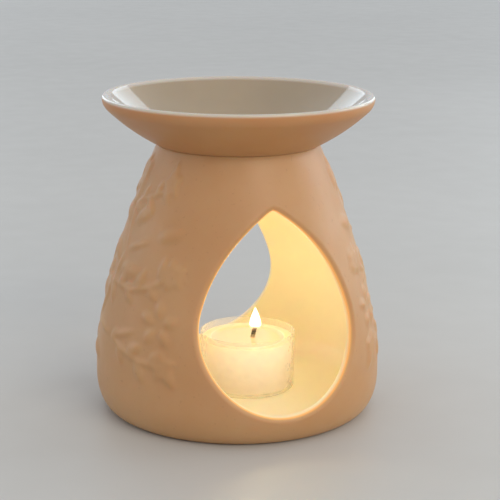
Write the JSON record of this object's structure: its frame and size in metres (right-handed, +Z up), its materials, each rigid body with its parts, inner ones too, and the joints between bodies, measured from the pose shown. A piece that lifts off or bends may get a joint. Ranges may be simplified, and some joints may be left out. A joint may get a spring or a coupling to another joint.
{
  "type": "essential oil burner",
  "caption": "Rounded ceramic oil burner with opposite teardrop openings, a flared lift-off dish for oil and water on its neck, and a tea light in a clear cup inside.",
  "frame": {"origin": "centre of the foot, on the surface that the burner stands on", "axes": "+Z up along the burner's axis, -Y out of the front opening, +X to the right seen from the front"},
  "size_m": [0.115, 0.114, 0.1271],
  "materials": {
    "bisque_porcelain": "matte",
    "glazed_porcelain": "gloss",
    "clear_plastic": "gloss",
    "wax": "satin",
    "cotton_wick": "matte",
    "tinned_steel": "satin"
  },
  "bodies": {
    "burner": {"burner_body": "bisque_porcelain", "right_sprig": "bisque_porcelain", "left_sprig": "bisque_porcelain"},
    "dish": {"oil_dish": "glazed_porcelain"},
    "tealight": {"tealight_cup": "clear_plastic", "tealight_wax": "wax", "wick": "cotton_wick", "wick_sustainer": "tinned_steel"}
  },
  "joints": [
    {"name": "dish_lift", "type": "slide", "parent": "burner", "child": "dish", "axis": [0, 0, 1], "range_m": [0, 0.06]},
    {"name": "tealight_slide", "type": "slide", "parent": "burner", "child": "tealight", "axis": [-0.0728, -0.9378, 0.3395], "range_m": [0, 0.085]}
  ]
}
